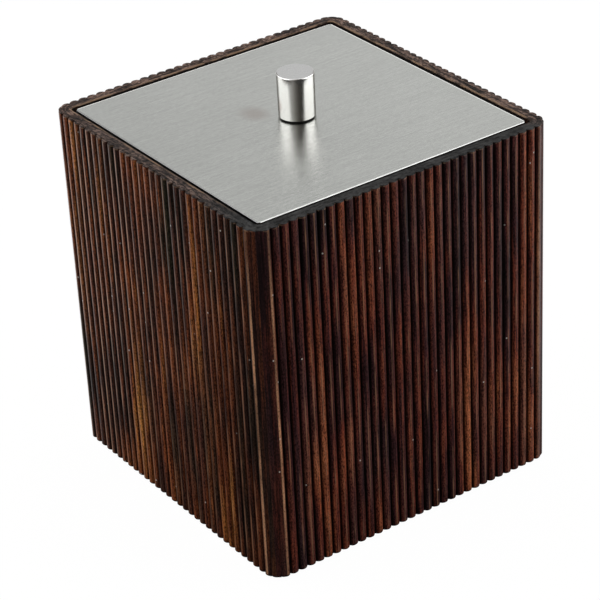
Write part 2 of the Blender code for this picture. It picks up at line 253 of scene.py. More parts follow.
class Nodes:
    """A node tree that is being drawn."""

    def __init__(self, tree):
        self.tree = tree

    def add(self, kind, sockets=None, output=0, **setup):
        """A node of a kind: its setup first, then values or wires for its sockets."""
        node = self.tree.nodes.new(kind)
        for name, value in setup.items():
            if name == "stops":
                self.set_stops(node.color_ramp, value)
            elif name == "items":
                while len(node.index_switch_items) < value:
                    node.index_switch_items.new()
            else:
                setattr(node, name, value)
        for key, value in (sockets or {}).items():
            self.feed(self.find(node.inputs, key), value)
        return Wire(self, self.find(node.outputs, output))

    def feed(self, socket, value):
        """Give a socket a wire, a list of wires or a plain value."""
        if isinstance(value, Wire):
            value = [value]
        if isinstance(value, list):
            for wire in value:
                self.tree.links.new(wire.socket, socket)
        else:
            socket.default_value = value

    @staticmethod
    def find(sockets, key):
        """A socket by its number, its identifier or its name."""
        if isinstance(key, int):
            return sockets[key]
        for socket in sockets:
            if socket.identifier == key:
                return socket
        return sockets[key]

    @staticmethod
    def set_stops(ramp, stops):
        """Stops of a colour ramp, as (place, colour)."""
        while len(ramp.elements) < len(stops):
            ramp.elements.new(1.0)
        for element, (place, stop_colour) in zip(ramp.elements, stops):
            element.position = place
            element.color = (*stop_colour, 1.0)

    def math(self, operation, *values):
        return self.add("ShaderNodeMath", dict(enumerate(values)), operation=operation)

    def clamp(self, value, low=0.0, high=1.0):
        return self.math("MINIMUM", self.math("MAXIMUM", value, low), high)

    def vector(self, x=0.0, y=0.0, z=0.0):
        return self.add("ShaderNodeCombineXYZ", {"X": x, "Y": y, "Z": z})

    def split(self, vector):
        node = self.add("ShaderNodeSeparateXYZ", {"Vector": vector}).socket.node
        return [Wire(self, socket) for socket in node.outputs]

    def stretch(self, vector, scales):
        """A vector times one scale for each of its axes."""
        return self.add("ShaderNodeVectorMath", {0: vector, 1: scales}, operation="MULTIPLY")

    def noise(self, vector, scale=1.0, detail=2.0, roughness=0.5, distortion=0.0):
        """Noise of one scale, or of one scale for each axis."""
        if isinstance(scale, tuple):
            vector, scale = self.stretch(vector, scale), 1.0
        return self.add("ShaderNodeTexNoise", {"Vector": vector, "Scale": scale, "Detail": detail,
                                               "Roughness": roughness, "Distortion": distortion},
                        noise_dimensions="3D")

    def fade(self, value, low, high, start=0.0, end=1.0):
        """A soft step from start to end as value goes from low to high."""
        return self.add("ShaderNodeMapRange",
                        {"Value": value, "From Min": low, "From Max": high, "To Min": start, "To Max": end},
                        interpolation_type="SMOOTHSTEP")

    def blend(self, share, first, second):
        """Two colours mixed by a share."""
        return self.add("ShaderNodeMix",
                        {"Factor_Float": share, "A_Color": with_alpha(first), "B_Color": with_alpha(second)},
                        "Result_Color", data_type="RGBA")

    def layers(self, ground, *coats):
        """A colour under coats of (share, colour), from the lowest up."""
        for share, coat in coats:
            ground = self.blend(share, ground, coat)
        return ground

    def ramp(self, value, stops):
        return self.add("ShaderNodeValToRGB", {"Fac": value}, "Color", stops=stops)

    def bump(self, height, distance, strength=1.0):
        """A normal for a height from 0 to 1, whose full height is the distance."""
        return self.add("ShaderNodeBump", {"Strength": strength, "Distance": distance, "Height": height})

    def pick(self, index, values):
        """One of several values, by number."""
        sockets = {"Index": index}
        sockets.update({f"Item_{number}": value for number, value in enumerate(values)})
        return self.add("GeometryNodeIndexSwitch", sockets, data_type="FLOAT", items=len(values))


def with_alpha(value):
    """A colour with its alpha, where it is plain numbers."""
    return value if isinstance(value, Wire) else (*value, 1.0)[:4]


def shade(value, share):
    """A plain colour made darker or brighter, and never brighter than white."""
    return tuple(min(1.0, channel * share) for channel in value)


def new_material(name, constants):
    """A material, its tree, and its Principled shader with what is the same all over set on it."""
    material = bpy.data.materials.new(name)
    material.use_nodes = True
    shader = material.node_tree.nodes["Principled BSDF"]
    for socket, value in constants.items():
        shader.inputs[socket].default_value = value
    return material, Nodes(material.node_tree), shader


def wire_up(nodes, shader, **wires):
    """Link wires to the shader's sockets, named with underscores for spaces."""
    for name, wire in wires.items():
        nodes.tree.links.new(wire.socket, shader.inputs[name.replace("_", " ")])


def object_place(nodes):
    """The place on a piece, in metres."""
    return nodes.add("ShaderNodeTexCoord", output="Object")


def pale_specks(nodes, run, height):
    """Round specks of filler, where a third of the cells of a pattern has one."""
    cells = {"Vector": nodes.vector(run, height * 0.8, 0.0), "Scale": 110.0}
    setup = {"voronoi_dimensions": "2D", "feature": "F1"}
    distance = nodes.add("ShaderNodeTexVoronoi", cells, **setup)
    cell_tone = nodes.add("ShaderNodeTexVoronoi", cells, "Color", **setup)
    chosen = nodes.split(cell_tone)[0] > 0.66
    return nodes.fade(distance, 0.029, 0.016) * chosen


def end_grain(nodes, place, brown):
    """The rim's end grain: its mottled strength, and its colour from the dark grey of painted light on the
    front rim to brown.
    """
    rings = nodes.noise(place, (130.0, 1000.0, 0.0), detail=3.0, roughness=0.65, distortion=0.8)
    pits = nodes.noise(place, (800.0, 1100.0, 0.0), roughness=0.7)
    patches = nodes.noise(place, (130.0, 60.0, 0.0))
    mottle = (nodes.fade(rings, 0.38, 0.62) * 0.42 + nodes.fade(pits, 0.38, 0.62) * 0.38
              + nodes.fade(patches, 0.35, 0.65) * 0.20)
    warm = nodes.ramp(mottle, [(0.12, (0.003, 0.002, 0.002)), (0.38, (0.034, 0.020, 0.015)),
                               (0.62, (0.120, 0.070, 0.053)), (0.90, (0.400, 0.250, 0.190))])
    front_rim_grey = nodes.ramp(mottle, [(0.15, (0.002, 0.002, 0.002)), (0.85, (0.040, 0.039, 0.038))])
    return mottle, nodes.blend(brown, front_rim_grey, warm)


def reeded_wood():
    """Dark stained, open-pored wood in upright streaks, with painted shade in the grooves, over the corners
    and at the foot, and painted highlights on the worn crests.
    """
    finish = settings().finish
    board = settings().board
    pitch = 2 * MITRE_RUN / board.reeds
    material, nodes, shader = new_material(
        "reeded_wood", {"Specular IOR Level": 0.10, "Coat Roughness": 0.26})
    place = nodes.add("ShaderNodeAttribute", output="Vector", attribute_name="board")
    run, depth, height = nodes.split(place)
    reed = nodes.math("FLOOR", run / pitch)
    across = nodes.math("FRACT", run / pitch) * 2.0 - 1.0
    from_crest = nodes.math("ABSOLUTE", across)
    board_run = 2 * MITRE_RUN
    from_mitre = nodes.math("ABSOLUTE", nodes.math("FRACT", run / board_run) - 0.5) * board_run

    def along(start, end):
        """A soft step along the run, in mitre runs: the front board ends at 1, and the left starts at 5."""
        return nodes.fade(run, MITRE_RUN * start, MITRE_RUN * end)

    left_board = run > MITRE_RUN * 5.0
    far_left = along(6.05, 5.45) * left_board
    near_left = along(6.3, 6.7)
    rim_left = along(5.05, 5.4) * along(6.9, 6.3)
    rim_behind = along(0.85, 1.1) * along(5.4, 5.05)
    rim_right = along(3.1, 2.9) * 0.18

    # Streaks of stain: broad zones, each reed's own drift, and fine fibres
    own_tone = nodes.add("ShaderNodeTexWhiteNoise", {"W": reed}, noise_dimensions="1D")
    zones = nodes.noise(place, (80.0, 20.0, 15.0), distortion=0.4)
    drift = nodes.noise(nodes.vector(reed * 7.31, 0.0, height * 20.0))
    streaks = nodes.noise(place, (1300.0, 600.0, 26.0), detail=3.0, roughness=0.65)
    fibre = nodes.noise(place, (2800.0, 2800.0, 90.0))
    speckle = nodes.noise(place, (3000.0, 3000.0, 1300.0), roughness=0.6)
    tone = zones * 0.68 + drift * 0.48 + streaks * 0.50 + fibre * 0.16 + own_tone * 0.10 - 0.46
    stain = nodes.ramp(tone, [(0.30, finish.stain_black), (0.43, finish.stain_purple),
                              (0.57, finish.stain_red), (0.75, finish.stain_orange)])
    ashen = nodes.noise(nodes.vector(reed * 3.17, 4.0, height * 14.0), detail=1.0)
    ash = nodes.blend(left_board, finish.stain_ash, finish.stain_smoke)
    stain = nodes.blend(nodes.fade(ashen, 0.50, 0.66) * (0.45 - left_board * 0.15), stain, ash)
    grain = nodes.fade(fibre * 0.40 + speckle * 0.60, 0.38, 0.62, 0.30, 1.95)
    grain = grain * (1.0 + left_board * 0.30 - near_left * 0.54)
    stain = nodes.stretch(stain, nodes.vector(grain, grain * (1.0 + left_board * 0.25),
                                              grain * (1.0 - left_board * 0.20)))

    # Painted shade over the corners and in the grooves, the dark open pores, and the worn crests with
    # painted highlights
    corner = nodes.fade(from_mitre, 0.0046, 0.0032)
    pores = nodes.noise(place, (4200.0, 2600.0, 260.0), roughness=0.7)
    pore_mask = nodes.fade(pores, 0.55, 0.66)
    groove = nodes.fade(depth, board.reed_depth * 0.06, board.reed_depth * 0.62)
    # Painted shade: the grooves darkened, less on the left board but for its far end
    groove_shade = groove * (0.92 - left_board * 0.36 + far_left * 0.36)
    # Painted highlight with some real wear: thin pale lines along the crests, brightest on the far reeds of
    # the left board
    crest_line_noise = nodes.noise(nodes.vector(reed * 5.9, 0.0, height * 45.0), detail=3.0, roughness=0.6)
    crest = nodes.fade(from_crest, 0.20, 0.06) * (1.0 - corner)
    worn_and_highlit_crests = crest * nodes.fade(crest_line_noise, 0.42, 0.62)
    worn_and_highlit_crests = worn_and_highlit_crests * (0.54 + far_left * 0.42 + near_left * 0.04)

    # Painted highlights: the paler lines along the crests beside a corner, placed where a lamp glints
    line_place = pitch + 0.0004 - left_board * 0.0005 + (streaks - 0.5) * 0.0006
    corner_highlight = nodes.fade(nodes.math("ABSOLUTE", from_mitre - line_place), 0.00048, 0.00024)
    corner_highlight = corner_highlight * nodes.fade(height + (crest_line_noise - 0.5) * 0.04, 0.108, 0.080, 0.32, 1.0)
    corner_highlight = corner_highlight * (1.0 - nodes.fade(height, 0.035, 0.012) * (1.0 - left_board) * 0.5)
    corner_highlight = corner_highlight * nodes.fade(speckle, 0.30, 0.52, 0.3, 1.0) * nodes.fade(crest_line_noise, 0.36, 0.58, 0.35, 1.0)
    corner_highlight = corner_highlight * nodes.clamp(0.6 + near_left + (run < 0.0))

    # The eased ends of the reeds, painted shade at the foot, and specks
    top = nodes.fade(height, RIM_TOP - board.ease, RIM_TOP - board.ease * 0.2)
    edge = nodes.fade(height, RIM_TOP - board.ease * 2.5, RIM_TOP - board.ease * 0.6) * (1.0 - top)
    chips = nodes.noise(place, (700.0, 700.0, 900.0))
    # Painted shade: the foot of each reed darkened to near black, as a contact shadow
    foot = nodes.fade(height, WALL_FOOT + board.ease * 2.5, WALL_FOOT + board.ease * 0.6)
    speck = pale_specks(nodes, run, height) * (1.0 - groove)

    # The rim: end grain, the dark wall inside it, and its worn inner edge
    # Painted light: the front rim painted a dark grey, the other rims brown
    mottle, rim_tone = end_grain(nodes, place, nodes.clamp(rim_behind + rim_left * 0.6 - rim_right))
    inner = nodes.fade(depth, RIM_WIDTH - 0.0006, RIM_WIDTH - 0.0001)
    worn_edge = (nodes.fade(depth, RIM_WIDTH - 0.0008, RIM_WIDTH - 0.0004)
                 * nodes.fade(height, RIM_TOP - 0.0004, RIM_TOP - 0.0002))
    worn_patches = nodes.noise(place, (150.0, 900.0, 0.0), detail=3.0, roughness=0.6)
    worn = worn_edge * nodes.fade(worn_patches, 0.44, 0.58, 0.1, 1.0) * nodes.clamp(rim_behind + rim_left)

    # Painted shade over corners, grooves and feet, and painted highlights on crests, go over the stain
    stain = nodes.layers(
        stain,
        (corner * (0.6 - left_board * 0.22), finish.corner_shade_tone),
        (pore_mask * 0.7, finish.stain_black),
        (groove_shade, (0.0032, 0.0011, 0.0007)),
        (worn_and_highlit_crests, finish.crest_wear_and_highlight),
        (corner_highlight, finish.corner_crest_highlight),
        (edge * nodes.fade(chips, 0.50, 0.62) * 0.7, finish.worn_wood),
        (foot * 0.85, (0.003, 0.002, 0.002)),
        (speck, (0.95, 0.90, 0.84)),
        (top, rim_tone),
        (inner * (1.0 - top), (0.008, 0.006, 0.005)),
        (worn * 0.8, finish.worn_wood))

    # Gloss: oiled crests, less of it on the side of a reed that turns from the light
    satin = 0.45 + (streaks - 0.5) * 0.30 + pore_mask * 0.15 + groove * 0.3
    oiled = nodes.fade(from_crest, 0.62, 0.18)
    polish = oiled * nodes.fade(streaks, 0.30, 0.70, 0.35, 0.90) * (1.0 - top)
    shy_side = nodes.fade(across * (1.0 - left_board * 2.0), 0.05, 0.35)
    polish = polish * (1.0 - left_board * 0.20 + far_left * 0.45 - near_left * 0.25)
    polish = nodes.clamp(polish * (1.0 - shy_side * 0.8) + corner_highlight * 0.9)
    polish = polish + top * mottle * 0.26
    relief = streaks * 0.35 + fibre * 0.25 - pore_mask * 0.4 + speck * 0.8
    wire_up(nodes, shader, Base_Color=stain, Roughness=nodes.clamp(satin, 0.2, 0.95), Coat_Weight=polish,
            Normal=nodes.bump(relief, 0.00006, 0.8))
    return material


def bare_wood():
    """Planed pale wood, for the keys."""
    material, nodes, shader = new_material("bare_wood", {"Specular IOR Level": 0.4})
    grain = nodes.noise(object_place(nodes), (1500.0, 1500.0, 50.0), detail=3.0)
    tone = nodes.blend(nodes.fade(grain, 0.35, 0.7), settings().finish.bare_wood, (0.22, 0.12, 0.055))
    wire_up(nodes, shader, Base_Color=tone, Roughness=0.55 + grain * 0.2,
            Normal=nodes.bump(grain, 0.00005))
    return material


def fibreboard():
    """Dark stained fibreboard with the specks of its chips."""
    material, nodes, shader = new_material("base_fibreboard", {"Specular IOR Level": 0.35})
    place = object_place(nodes)
    chips = nodes.noise(place, (1600.0, 1100.0, 2200.0), detail=3.0, roughness=0.7)
    clouds = nodes.noise(place, 60.0)
    tone = nodes.ramp(chips * 0.7 + clouds * 0.3,
                      [(0.36, (0.010, 0.007, 0.006)), (0.52, (0.024, 0.017, 0.013)),
                       (0.70, (0.070, 0.046, 0.032))])
    wire_up(nodes, shader, Base_Color=tone, Roughness=0.70 + chips * 0.25,
            Normal=nodes.bump(chips, 0.00008))
    return material


def pressed_felt():
    """Matt felt with matted hairs."""
    material, nodes, shader = new_material(
        "pressed_felt", {"Specular IOR Level": 0.1, "Sheen Weight": 0.3})
    hairs = nodes.noise(object_place(nodes), 5200.0, detail=3.0, roughness=0.7, distortion=2.5)
    tone = nodes.blend(nodes.fade(hairs, 0.35, 0.7), (0.020, 0.018, 0.017), (0.075, 0.070, 0.066))
    wire_up(nodes, shader, Base_Color=tone, Roughness=0.85 + hairs * 0.15,
            Normal=nodes.bump(hairs, 0.00015))
    return material


def moulded_black(name, base, roughness):
    """Black moulded plastic with a fine spark finish."""
    material, nodes, shader = new_material(name, {"Specular IOR Level": 0.5})
    place = object_place(nodes)
    spark = nodes.noise(place, 7000.0)
    clouds = nodes.noise(place, 90.0, detail=3.0)
    tone = nodes.blend(nodes.fade(clouds, 0.3, 0.7), base, shade(base, 1.7))
    wire_up(nodes, shader, Base_Color=tone, Roughness=roughness + clouds * 0.12 + spark * 0.08,
            Normal=nodes.bump(spark, 0.00003, 0.7))
    return material


def brushed_steel():
    """Steel sheet brushed along X: long hairlines that stretch what it mirrors across them, with painted
    light and shade on its top and its cut edge.
    """
    material, nodes, shader = new_material("brushed_steel", {"Metallic": 1.0})
    steel = settings().finish.steel
    place = object_place(nodes)
    x, y, _ = nodes.split(place)
    hair = nodes.noise(place, (90.0, 3200.0, 3200.0), detail=3.0, roughness=0.7)
    band = nodes.noise(place, (30.0, 900.0, 900.0), detail=3.0, roughness=0.65)
    cloud = nodes.noise(place, 28.0)
    grit = nodes.noise(place, (900.0, 4200.0, 4200.0))
    strokes = nodes.fade(hair * 0.46 + band * 0.10 + grit * 0.44, 0.36, 0.64)
    # Painted light: the top painted paler towards +X
    painted_light_gradient = nodes.fade(x - y, -0.08, 0.08, -0.01, 0.27) + nodes.fade(x + y, -0.07, 0.05, -0.08, 0.14)
    tone = nodes.blend(nodes.clamp(strokes * 0.46 + cloud * 0.28 + painted_light_gradient),
                       shade(steel, 0.78), shade(steel, 1.22))
    # Painted shade of the knob on the plate, to the left of it
    from_knob_shade = nodes.add("ShaderNodeVectorMath",
                            {0: nodes.stretch(place, (1.0, 0.8, 0.0)), 1: (-0.0085, 0.0070, 0.0)},
                            "Value", operation="DISTANCE")
    knob_shade = nodes.fade(from_knob_shade + (cloud - 0.5) * 0.004, 0.0056, 0.0005)

    # The cut edge: a painted highlight on the two sides behind, and painted shade on the left
    half = PLATE_HIGH.x
    to_edge = nodes.math("MAXIMUM", nodes.math("ABSOLUTE", x), nodes.math("ABSOLUTE", y))
    behind = nodes.fade(nodes.math("MAXIMUM", x, y), half - 0.0010, half - 0.0003)
    cut = nodes.fade(to_edge + behind * 0.00022, half - 0.00045, half - PLATE_BEVEL)
    edge_light_tone = nodes.layers((0.60, 0.60, 0.59), (behind, (0.96, 0.96, 0.94)),
                            (nodes.fade(x, 0.001 - half, -half), (0.22, 0.22, 0.22)))
    tone = nodes.layers(tone, (knob_shade * 0.65, (0.27, 0.240, 0.220)), (cut, edge_light_tone))
    wire_up(nodes, shader, Base_Color=tone, Roughness=0.19 + strokes * 0.05 + cloud * 0.03,
            Normal=nodes.bump(hair * 0.8 + band * 0.2, 0.00006, 0.9))
    return material


def turned_steel():
    """Bright steel with the fine rings of the lathe, and a duller top."""
    material, nodes, shader = new_material("turned_steel", {"Metallic": 1.0})
    steel = settings().finish.turned_steel
    place = object_place(nodes)
    x, y, z = nodes.split(place)
    radius = nodes.math("SQRT", x * x + y * y)
    rings = nodes.noise(nodes.vector(radius * 16000.0, 0.0, z * 12000.0))
    cloud = nodes.noise(place, 300.0)
    tone = nodes.blend(rings * 0.6 + cloud * 0.4, shade(steel, 0.95), shade(steel, 1.12))
    faced = nodes.fade(z, KNOB_HIGH.z - 0.00012, KNOB_HIGH.z - 0.00002)
    faced_tone = nodes.blend(rings, (0.280, 0.282, 0.280), (0.435, 0.438, 0.434))
    tone = nodes.blend(faced * 0.85, tone, faced_tone)
    wire_up(nodes, shader, Base_Color=tone, Roughness=0.10 + rings * 0.06 + cloud * 0.05 + faced * 0.12,
            Normal=nodes.bump(rings, 0.000006, 0.6))
    return material


def zinc_plate():
    """Bright zinc, a little cloudy."""
    material, nodes, shader = new_material("zinc_plate", {"Metallic": 1.0})
    cloud = nodes.noise(object_place(nodes), 700.0, detail=3.0)
    tone = nodes.blend(cloud, (0.42, 0.43, 0.45), (0.62, 0.62, 0.62))
    wire_up(nodes, shader, Base_Color=tone, Roughness=0.22 + cloud * 0.18,
            Normal=nodes.bump(cloud, 0.00001))
    return material


def put_in_scene(name, data):
    """A new object with this mesh, lamp or camera, linked to the scene."""
    item = bpy.data.objects.new(name, data)
    bpy.context.scene.collection.objects.link(item)
    return item


def loft(rings, closed=False):
    """A skin over rings of points, capped at both ends, or closed on itself as a hoop."""
    shape = bmesh.new()
    loops = [[shape.verts.new(point) for point in ring] for ring in rings]
    pairs = list(zip(loops, loops[1:]))
    if closed:
        pairs.append((loops[-1], loops[0]))
    else:
        shape.faces.new(loops[0])
        shape.faces.new(loops[-1])
    for lower, upper in pairs:
        for step in range(len(lower)):
            shape.faces.new((lower[step - 1], lower[step], upper[step], upper[step - 1]))
    bmesh.ops.recalc_face_normals(shape, faces=shape.faces)
    mesh = bpy.data.meshes.new("loft")
    shape.to_mesh(mesh)
    shape.free()
    return mesh


def rectangle(half_x, half_y, height):
    """A ring of four points round the upright axis."""
    return [(x * half_x, y * half_y, height) for x, y in ((1, 1), (-1, 1), (-1, -1), (1, -1))]


def rounded_square(half, radius, height):
    """A ring of points round a square with round corners."""
    points = []
    for corner in range(4):
        middle = math.pi / 4 + corner * QUARTER_TURN
        offset = math.sqrt(2) * (half - radius)
        centre_x, centre_y = offset * math.cos(middle), offset * math.sin(middle)
        for step in range(CORNER_STEPS + 1):
            turn = corner * QUARTER_TURN + QUARTER_TURN * step / CORNER_STEPS
            points.append((centre_x + radius * math.cos(turn), centre_y + radius * math.sin(turn), height))
    return points


def hole_in(ring, radius, height):
    """A round ring of points that lies inside another ring, point for point."""
    reaches = [math.hypot(x, y) for x, y, _ in ring]
    return [(x * radius / reach, y * radius / reach, height) for (x, y, _), reach in zip(ring, reaches)]


def circle(radius, height):
    """A ring of points round the upright axis."""
    turns = [2 * math.pi * step / CIRCLE_STEPS for step in range(CIRCLE_STEPS)]
    return [(radius * math.cos(turn), radius * math.sin(turn), height) for turn in turns]


def turned_rings(profile):
    """Circles for a turned shape, from points (radius, height)."""
    return [circle(radius, height) for radius, height in profile]


def quarter_round(edge, steps=EDGE_STEPS):
    """A rounded edge, from a flat face to the side: how far in from the side, how far from the face."""
    bends = [QUARTER_TURN * step / steps for step in range(steps + 1)]
    return [(edge * (1 - math.sin(bend)), edge * (1 - math.cos(bend))) for bend in bends]


def turned_edges(radius, low, low_edge, high, high_edge):
    """Points (radius, height) up a turned side with both its edges rounded."""
    return ([(radius - inset, low + rise) for inset, rise in quarter_round(low_edge)]
            + [(radius - rise, high - inset) for inset, rise in quarter_round(high_edge)])


def finish_piece(name, mesh, material, body, slot, *nodes):
    """A finished piece at the origin, smooth with crisp edges, on its body and in place of its nodes."""
    mesh.name = name + "_look"
    if material.name not in mesh.materials:
        mesh.materials.append(material)
    mesh.shade_smooth()
    mesh.set_sharp_from_angle(angle=SHARP_ANGLE)
    piece = put_in_scene(name + "_look", mesh)
    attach(piece, body)
    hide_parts(*nodes)
    return piece


def board_inputs(tree):
    """Named inputs of the board's tree: the sizes of the box, then the board settings by their names."""
    board = settings().board
    values = {
        "Half Side": HALF_SIDE, "Corner Radius": CORNER_RADIUS, "Wall Foot": WALL_FOOT,
        "Rim Top": RIM_TOP, "Rim Half": RIM_HALF, "Rim Corner Radius": RIM_CORNER_RADIUS,
        "Rebate Floor": REBATE_FLOOR, "Cavity Half": CAVITY_HALF, "Base Rebate Half": BASE_REBATE_HALF,
        "Base Rebate Top": BASE_REBATE_TOP, "Joint Gap": JOINT_GAP, "Slot Width": KEY_WIDTH + 2 * SEAT_GAP,
        "Slot Thickness": KEY_THICKNESS + 2 * SEAT_GAP, "Slot Inset": KEY_INSET,
        "Quarter": 0, "Seed": WANDER_SEED,
    }
    values.update({name.replace("_", " ").title(): getattr(board, name) for name in setting_names(board)})
    for name, value in values.items():
        kind = "NodeSocketInt" if isinstance(value, int) else "NodeSocketFloat"
        tree.interface.new_socket(name, in_out="INPUT", socket_type=kind).default_value = value
    tree.interface.new_socket("Wood", in_out="INPUT", socket_type="NodeSocketMaterial")
    tree.interface.new_socket("Board", in_out="OUTPUT", socket_type="NodeSocketGeometry")


def crest_point(nodes, half, radius, share, inset):
    """A point on a square with round corners: share runs from -1 to 1 between the mitres."""
    straight = half - radius
    run = share * (straight + radius * (math.pi / 4))
    side = nodes.math("SIGN", run)
    reach_along = nodes.math("ABSOLUTE", run)
    turn = side * nodes.math("MAXIMUM", reach_along - straight, 0.0) / radius
    reach = radius - inset
    x = side * nodes.math("MINIMUM", reach_along, straight) + reach * nodes.math("SINE", turn)
    y = 0.0 - straight - reach * nodes.math("COSINE", turn)
    return x, y


def board_tree():
    """A mitred board: its reeded face, its rim, its two rebates and the slots in its mitres."""
    tree = bpy.data.node_groups.new("reeded_board", "GeometryNodeTree")
    board_inputs(tree)
    nodes = Nodes(tree)
    entry = nodes.add("NodeGroupInput").socket.node
    size = {socket.name: Wire(nodes, socket) for socket in entry.outputs if socket.name}
    steps, height_steps = size["Reed Steps"], size["Height Steps"]
    foot, top = size["Wall Foot"], size["Rim Top"]
    ease, rim_ease = size["Ease"], size["Rim Ease"]
    cavity, rebate_floor = size["Cavity Half"], size["Rebate Floor"]
    base_half, base_top = size["Base Rebate Half"], size["Base Rebate Top"]

    # The rim and the inside, from the top down, as levels of (half side, corner radius, height)
    rim_half, rim_radius = size["Rim Half"], size["Rim Corner Radius"]
    inside_levels = [(rim_half + rim_ease * 1.6, rim_radius + rim_ease * 1.6, top)]
    for back, drop in quarter_round(rim_ease):
        inside_levels.append((rim_half + back, rim_radius + back, top - drop))
    inside_levels += [(rim_half, rim_radius, rebate_floor), (cavity, 0.0, rebate_floor),
                      (cavity, 0.0, base_top), (base_half, 0.0, base_top), (base_half, 0.0, foot)]

    # A closed skin of stations along the board by levels round its section
    outer_last = height_steps + 2 * EDGE_STEPS
    levels = outer_last + 2 + len(inside_levels)
    stations = size["Reeds"] * steps + 1
    line = nodes.add("GeometryNodeCurvePrimitiveLine")
    line = nodes.add("GeometryNodeResampleCurve", {"Curve": line, "Count": stations})
    section = nodes.add("GeometryNodeCurvePrimitiveCircle", {"Resolution": levels}, "Curve")
    skin = nodes.add("GeometryNodeCurveToMesh",
                     {"Curve": line, "Profile Curve": section, "Fill Caps": True})
    skin = nodes.add("GeometryNodeFlipFaces", {"Mesh": skin})
    index = nodes.add("GeometryNodeInputIndex")
    station = nodes.math("FLOOR", (index + 0.5) / levels)
    level = index - station * levels

    # Along the board: the round reeds, shallow next to the mitres
    mitre_run = size["Half Side"] - size["Corner Radius"] + size["Corner Radius"] * (math.pi / 4)
    pitch = 2.0 * mitre_run / size["Reeds"]
    shifted = station + steps / 2.0
    reed = nodes.math("FLOOR", (shifted + 0.5) / steps)
    step = shifted - reed * steps
    bend = (2.0 * step / steps - 1.0) * REED_HALF_ANGLE
    lean_in = nodes.math("SINE", bend)
    drop_in = 1.0 - nodes.math("COSINE", bend)
    run = reed * pitch - mitre_run + pitch / 2.0 * lean_in / math.sin(REED_HALF_ANGLE)
    to_mitre = mitre_run - nodes.math("ABSOLUTE", run)
    shallow = 1.0 - (to_mitre < pitch * 0.999) * (1.0 - size["Corner Depth"])
    depth = size["Reed Depth"] * shallow * drop_in / (1.0 - math.cos(REED_HALF_ANGLE))
    on_flank = step > 0.5
    lean = lean_in * on_flank * shallow
    facing = 1.0 - on_flank * drop_in

    # Up the board: an eased foot, the climb, an eased top, and one level that holds the edge crisp
    low_bend = nodes.clamp(level / EDGE_STEPS) * QUARTER_TURN
    climb = nodes.clamp((level - EDGE_STEPS) / height_steps)
    high_bend = nodes.clamp((level - EDGE_STEPS - height_steps) / EDGE_STEPS) * QUARTER_TURN
    own_run = run + size["Quarter"] * 2.0 * mitre_run
    end_noise = nodes.noise(nodes.vector(own_run * 700.0, level / levels * 3.0, size["Seed"]))
    own_ease = ease * (0.35 + end_noise * 1.3)
    inset = own_ease * (2.0 - nodes.math("SINE", low_bend) - nodes.math("COSINE", high_bend))
    inset = inset + nodes.clamp(level - outer_last) * ease * 0.6
    outer_z = (foot + own_ease * (1.0 - nodes.math("COSINE", low_bend))
               + climb * (top - foot - 2.0 * own_ease) + own_ease * nodes.math("SINE", high_bend))

    # The tool's wander, held still at the mitres
    held = nodes.clamp(to_mitre / pitch)
    wander = nodes.noise(nodes.vector(own_run * 230.0, climb * 5.5, size["Seed"]), detail=1.0) - 0.5
    swell = nodes.noise(nodes.vector(own_run * 260.0, climb * 8.0, size["Seed"] + 4.0), detail=1.0) - 0.5
    outer_run = run - inset * lean + wander * size["Sway"] * 2.0 * held
    outer_depth = depth + inset * facing + swell * size["Sway"] * 2.0 * held

    which = nodes.clamp(level - outer_last - 2.0, 0.0, len(inside_levels) - 1.0)
    inner_half, inner_radius, inner_z = (nodes.pick(which, values) for values in zip(*inside_levels))
    inside = level > outer_last + 1.5
    outside = 1.0 - inside
    half = outside * size["Half Side"] + inside * inner_half
    radius = outside * size["Corner Radius"] + inside * inner_radius
    height = outside * outer_z + inside * inner_z
    share = (outside * outer_run + inside * run) / mitre_run * (1.0 - size["Joint Gap"] / mitre_run)
    x, y = crest_point(nodes, half, radius, share, outside * outer_depth)
    skin = nodes.add("GeometryNodeSetPosition",
                     {"Geometry": skin, "Position": nodes.vector(x, y, height)})
    behind_crest = size["Half Side"] - half + outside * outer_depth
    board_place = nodes.vector(own_run, behind_crest, height)
    skin = nodes.add("GeometryNodeStoreNamedAttribute",
                     {"Geometry": skin, "Name": "board", "Value": board_place},
                     data_type="FLOAT_VECTOR", domain="POINT")

    # The slots for the keys, cut from both mitres
    slot_height = rebate_floor - base_top + rim_ease * 4.0
    slot_size = nodes.vector(size["Slot Thickness"], size["Slot Width"], slot_height)
    block = nodes.add("GeometryNodeMeshCube", {"Size": slot_size}, "Mesh")
    reach = cavity + size["Slot Inset"] / math.sqrt(2)
    middle = (rebate_floor + base_top) / 2.0
    slots = [nodes.add("GeometryNodeTransform",
                       {"Geometry": block, "Translation": nodes.vector(reach * side, reach * -1.0, middle),
                        "Rotation": (0.0, 0.0, -side * math.pi / 4)}) for side in (-1.0, 1.0)]
    skin = nodes.add("GeometryNodeMeshBoolean", {"Mesh 1": skin, "Mesh 2": slots},
                     operation="DIFFERENCE", solver="MANIFOLD")

    own_turn = nodes.vector(0.0, 0.0, size["Quarter"] * QUARTER_TURN)
    whole = nodes.add("GeometryNodeTransform", {"Geometry": skin, "Rotation": own_turn})
    whole = nodes.add("GeometryNodeRealizeInstances", {"Geometry": whole})
    whole = nodes.add("GeometryNodeSetMaterial", {"Geometry": whole, "Material": size["Wood"]})
    nodes.feed(tree.nodes.new("NodeGroupOutput").inputs["Board"], whole)
    return tree


def evaluated_mesh(item):
    """The plain mesh of an object with its modifiers worked out. The object is removed."""
    bpy.context.view_layer.update()
    mesh = bpy.data.meshes.new_from_object(item.evaluated_get(bpy.context.evaluated_depsgraph_get()))
    item.modifiers.clear()
    bpy.data.objects.remove(item)
    return mesh


